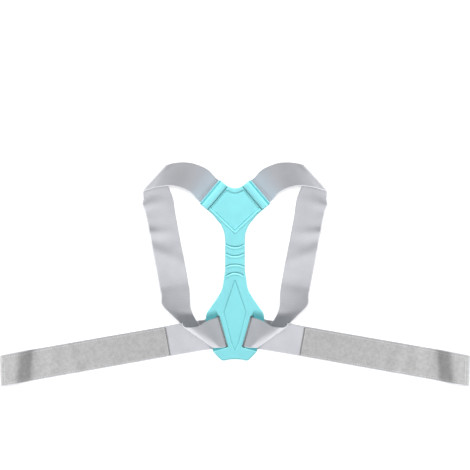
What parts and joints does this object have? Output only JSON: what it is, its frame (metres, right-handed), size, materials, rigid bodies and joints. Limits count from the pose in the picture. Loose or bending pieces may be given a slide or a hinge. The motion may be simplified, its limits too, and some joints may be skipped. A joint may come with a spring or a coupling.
{
  "type": "posture corrector",
  "caption": "Moulded back plate with elastic shoulder and waist straps, laid open; worn to hold the shoulders back.",
  "frame": {"origin": "middle of the neck on the plate's flat rear face, on the surface that the object lies on", "axes": "+Y along the plate towards the wearer's neck, +Z out of the plate's front face, +X across the plate"},
  "size_m": [0.6076, 0.2905, 0.0276],
  "materials": {
    "plate": "satin moulded turquoise plastic",
    "strap": "ribbed elastic webbing, light grey",
    "loop_fabric": "brushed loop pile, grey",
    "hook_fabric": "short stiff hook pile, grey"
  },
  "bodies": {
    "root": {"back_plate": "plate", "strap_left": "strap", "strap_right": "strap", "loop_panel_left": "loop_fabric", "loop_panel_right": "loop_fabric", "hook_tab": "hook_fabric"}
  },
  "joints": []
}
